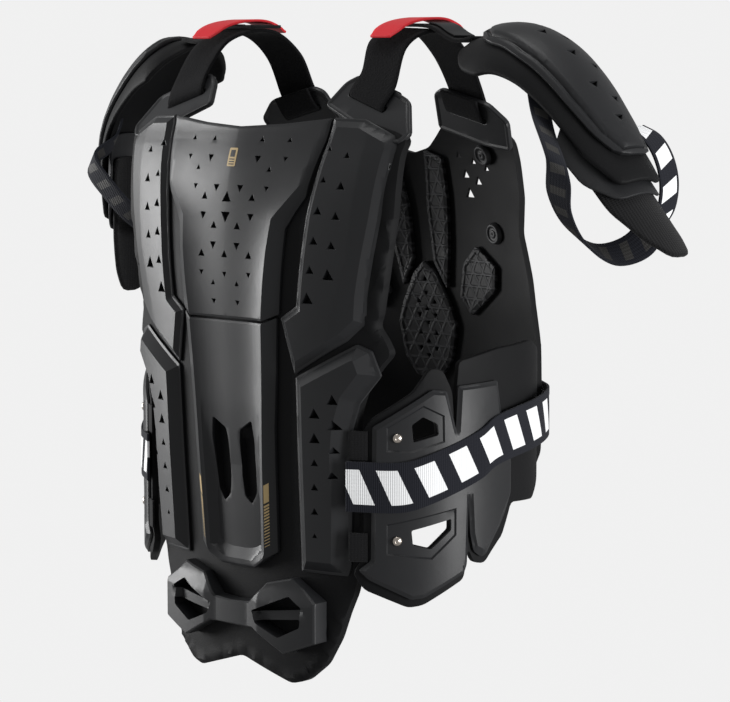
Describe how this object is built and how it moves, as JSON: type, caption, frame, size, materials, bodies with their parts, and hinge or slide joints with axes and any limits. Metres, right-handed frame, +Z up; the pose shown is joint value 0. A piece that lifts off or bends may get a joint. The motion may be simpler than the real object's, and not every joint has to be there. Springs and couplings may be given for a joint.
{
  "type": "roost deflector",
  "caption": "Rigid-shelled chest and back guard with shoulder caps, side guards and elastic side straps, shaped as worn.",
  "frame": {"origin": "midway between the undersides of the two shoulder straps at their highest, where the wearer's shoulders carry it", "axes": "+X to the wearer's right, +Y forwards to the chest, +Z up"},
  "size_m": [0.7029, 0.3106, 0.6019],
  "materials": {
    "matte_shell": "matte moulded",
    "soft_foam": "moulded foam, fine grain",
    "textured_rubber": "embossed triangles",
    "grey_rubber": "smooth matte",
    "black_webbing": "brushed loop webbing",
    "black_fabric": "padded knit",
    "printed_elastic": "ribbed elastic with a white print of slanted bars",
    "red_tab": "smooth matte",
    "rivet_steel": "polished dome"
  },
  "bodies": {
    "root": {"strap_anchor_back_right": "matte_shell", "strap_anchor_chest_right": "matte_shell", "strap_anchor_back_left": "matte_shell", "strap_anchor_chest_left": "matte_shell", "back_liner": "soft_foam", "spine_plate_upper": "matte_shell", "spine_plate_lower": "matte_shell", "back_wing_right": "matte_shell", "kidney_plate_right": "matte_shell", "back_wing_left": "matte_shell", "kidney_plate_left": "matte_shell", "tail_plate": "matte_shell", "chest_liner": "soft_foam", "sternum_plate": "matte_shell", "belly_plate": "matte_shell", "breast_plate_right": "matte_shell", "rib_plate_right": "matte_shell", "breast_plate_left": "matte_shell", "rib_plate_left": "matte_shell", "centre_pad": "textured_rubber", "strip_pad_right": "textured_rubber", "side_pad_right": "textured_rubber", "strip_pad_left": "textured_rubber", "side_pad_left": "textured_rubber", "press_stud_upper_right": "grey_rubber", "press_stud_lower_right": "grey_rubber", "press_stud_upper_left": "grey_rubber", "press_stud_lower_left": "grey_rubber", "shoulder_strap_right": "black_webbing", "shoulder_strap_left": "black_webbing", "cap_link_right": "black_webbing", "strap_tab_right": "red_tab", "cap_buckle_right": "grey_rubber", "cap_link_left": "black_webbing", "strap_tab_left": "red_tab", "cap_buckle_left": "grey_rubber", "cap_pad_right": "soft_foam", "cap_shell_right": "matte_shell", "cap_flap_right": "grey_rubber", "bicep_pad_right": "black_fabric", "arm_strap_right": "printed_elastic", "cap_pad_left": "soft_foam", "cap_shell_left": "matte_shell", "cap_flap_left": "grey_rubber", "bicep_pad_left": "black_fabric", "arm_strap_left": "printed_elastic", "guard_pad_right": "soft_foam", "side_guard_right": "matte_shell", "rivet_upper_right": "rivet_steel", "rivet_lower_right": "rivet_steel", "guard_pad_left": "soft_foam", "side_guard_left": "matte_shell", "rivet_upper_left": "rivet_steel", "rivet_lower_left": "rivet_steel", "side_strap_right": "printed_elastic", "guard_tab_upper_right": "black_webbing", "guard_tab_lower_right": "black_webbing", "side_strap_left": "printed_elastic", "guard_tab_upper_left": "black_webbing", "guard_tab_lower_left": "black_webbing"}
  },
  "joints": []
}
